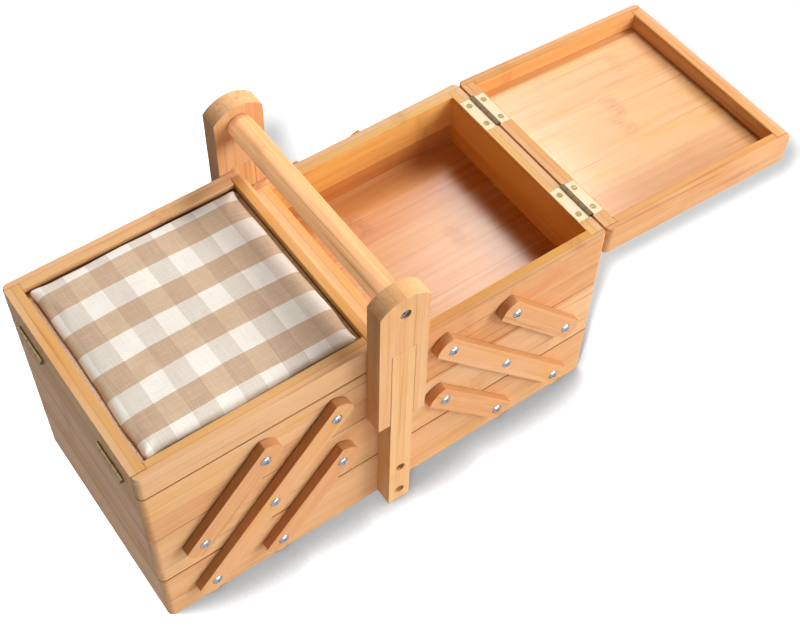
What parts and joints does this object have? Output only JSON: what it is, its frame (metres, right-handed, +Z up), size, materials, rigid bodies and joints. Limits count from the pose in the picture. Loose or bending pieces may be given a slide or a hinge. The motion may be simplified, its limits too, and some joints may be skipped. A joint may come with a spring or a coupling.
{
  "type": "two-lid sewing carrier",
  "caption": "Bamboo sewing carrier: a base box, tray stacks that swing out on levers to both sides and stay level, padded hinged lids and a fixed carrying handle.",
  "frame": {"origin": "on the floor plane, at the middle of the base box's underside", "axes": "+X along the length towards the open lid, +Y towards the back, +Z up"},
  "size_m": [0.625, 0.232, 0.277],
  "materials": {
    "bamboo_walls": "laminated bamboo, clear satin lacquer",
    "bamboo_levers": "solid bamboo, clear satin lacquer",
    "bamboo_panels": "laminated bamboo board, clear satin lacquer",
    "hinge_brass": "bright, lightly brushed",
    "screw_steel": "bright zinc plated",
    "lid_pads": "woven cotton gingham over soft wadding"
  },
  "bodies": {
    "base_box": {"base_front_wall": "bamboo_walls", "base_back_wall": "bamboo_walls", "base_end_walls": "bamboo_walls", "base_floor": "bamboo_panels", "front_post": "bamboo_walls", "back_post": "bamboo_walls", "front_fork": "bamboo_walls", "back_fork": "bamboo_walls", "handle_bar": "bamboo_walls", "handle_screws": "screw_steel", "post_screws": "screw_steel", "base_pivot_screws": "screw_steel"},
    "left_long_lever_pair": {"left_long_levers": "bamboo_levers"},
    "left_lower_lever_pair": {"left_lower_levers": "bamboo_levers"},
    "left_upper_lever_pair": {"left_upper_levers": "bamboo_levers"},
    "left_middle_tray": {"left_mid_front_wall": "bamboo_walls", "left_mid_back_wall": "bamboo_walls", "left_mid_end_walls": "bamboo_walls", "left_mid_floor": "bamboo_panels", "left_mid_pivot_screws": "screw_steel"},
    "left_top_tray": {"left_top_front_wall": "bamboo_walls", "left_top_back_wall": "bamboo_walls", "left_top_end_walls": "bamboo_walls", "left_top_floor": "bamboo_panels", "left_top_pivot_screws": "screw_steel", "left_tray_hinge_leaves": "hinge_brass", "left_tray_hinge_screws": "hinge_brass", "left_hinge_pins": "screw_steel"},
    "left_lid": {"left_lid_front_rail": "bamboo_walls", "left_lid_back_rail": "bamboo_walls", "left_lid_inner_rail": "bamboo_walls", "left_lid_outer_rail": "bamboo_walls", "left_lid_panel": "bamboo_panels", "left_lid_pad": "lid_pads", "left_lid_hinge_leaves": "hinge_brass", "left_lid_hinge_screws": "hinge_brass"},
    "right_long_lever_pair": {"right_long_levers": "bamboo_levers"},
    "right_lower_lever_pair": {"right_lower_levers": "bamboo_levers"},
    "right_upper_lever_pair": {"right_upper_levers": "bamboo_levers"},
    "right_middle_tray": {"right_mid_front_wall": "bamboo_walls", "right_mid_back_wall": "bamboo_walls", "right_mid_end_walls": "bamboo_walls", "right_mid_floor": "bamboo_panels", "right_mid_pivot_screws": "screw_steel"},
    "right_top_tray": {"right_top_front_wall": "bamboo_walls", "right_top_back_wall": "bamboo_walls", "right_top_end_walls": "bamboo_walls", "right_top_floor": "bamboo_panels", "right_top_pivot_screws": "screw_steel", "right_tray_hinge_leaves": "hinge_brass", "right_tray_hinge_screws": "hinge_brass", "right_hinge_pins": "screw_steel"},
    "right_lid": {"right_lid_front_rail": "bamboo_walls", "right_lid_back_rail": "bamboo_walls", "right_lid_inner_rail": "bamboo_walls", "right_lid_outer_rail": "bamboo_walls", "right_lid_panel": "bamboo_panels", "right_lid_pad": "lid_pads", "right_lid_hinge_leaves": "hinge_brass", "right_lid_hinge_screws": "hinge_brass"}
  },
  "joints": [
    {"name": "left_stack_swing", "type": "hinge", "parent": "base_box", "child": "left_long_lever_pair", "pos_m": [-0.167, 0, 0.0315], "axis": [0, -1, 0], "range_deg": [0, 82.4]},
    {"name": "left_middle_tray_level", "type": "hinge", "parent": "left_long_lever_pair", "child": "left_middle_tray", "pos_m": [-0.11, 0, 0.0965], "axis": [0, -1, 0], "range_deg": [-82.4, 0]},
    {"name": "left_top_tray_level", "type": "hinge", "parent": "left_long_lever_pair", "child": "left_top_tray", "pos_m": [-0.053, 0, 0.1615], "axis": [0, -1, 0], "range_deg": [-82.4, 0]},
    {"name": "left_lower_lever_swing", "type": "hinge", "parent": "base_box", "child": "left_lower_lever_pair", "pos_m": [-0.106, 0, 0.0315], "axis": [0, -1, 0], "range_deg": [0, 82.4]},
    {"name": "left_upper_lever_swing", "type": "hinge", "parent": "left_middle_tray", "child": "left_upper_lever_pair", "pos_m": [-0.171, 0, 0.0965], "axis": [0, -1, 0], "range_deg": [0, 82.4]},
    {"name": "left_lid_hinge", "type": "hinge", "parent": "left_top_tray", "child": "left_lid", "pos_m": [-0.2091, 0, 0.1852], "axis": [0, -1, 0], "range_deg": [0, 184]},
    {"name": "right_stack_swing", "type": "hinge", "parent": "base_box", "child": "right_long_lever_pair", "pos_m": [0.167, 0, 0.0315], "axis": [0, 1, 0], "range_deg": [0, 82.4]},
    {"name": "right_middle_tray_level", "type": "hinge", "parent": "right_long_lever_pair", "child": "right_middle_tray", "pos_m": [0.11, 0, 0.0965], "axis": [0, 1, 0], "range_deg": [-82.4, 0]},
    {"name": "right_top_tray_level", "type": "hinge", "parent": "right_long_lever_pair", "child": "right_top_tray", "pos_m": [0.053, 0, 0.1615], "axis": [0, 1, 0], "range_deg": [-82.4, 0]},
    {"name": "right_lower_lever_swing", "type": "hinge", "parent": "base_box", "child": "right_lower_lever_pair", "pos_m": [0.106, 0, 0.0315], "axis": [0, 1, 0], "range_deg": [0, 82.4]},
    {"name": "right_upper_lever_swing", "type": "hinge", "parent": "right_middle_tray", "child": "right_upper_lever_pair", "pos_m": [0.171, 0, 0.0965], "axis": [0, 1, 0], "range_deg": [0, 82.4]},
    {"name": "right_lid_hinge", "type": "hinge", "parent": "right_top_tray", "child": "right_lid", "pos_m": [0.2091, 0, 0.1852], "axis": [0, 1, 0], "range_deg": [-184, 0]}
  ],
  "couplings": [
    {"joint": "left_middle_tray_level", "follows": "left_stack_swing", "ratio": -1},
    {"joint": "left_top_tray_level", "follows": "left_stack_swing", "ratio": -1},
    {"joint": "left_lower_lever_swing", "follows": "left_stack_swing", "ratio": 1},
    {"joint": "left_upper_lever_swing", "follows": "left_stack_swing", "ratio": 1},
    {"joint": "right_middle_tray_level", "follows": "right_stack_swing", "ratio": -1},
    {"joint": "right_top_tray_level", "follows": "right_stack_swing", "ratio": -1},
    {"joint": "right_lower_lever_swing", "follows": "right_stack_swing", "ratio": 1},
    {"joint": "right_upper_lever_swing", "follows": "right_stack_swing", "ratio": 1}
  ]
}
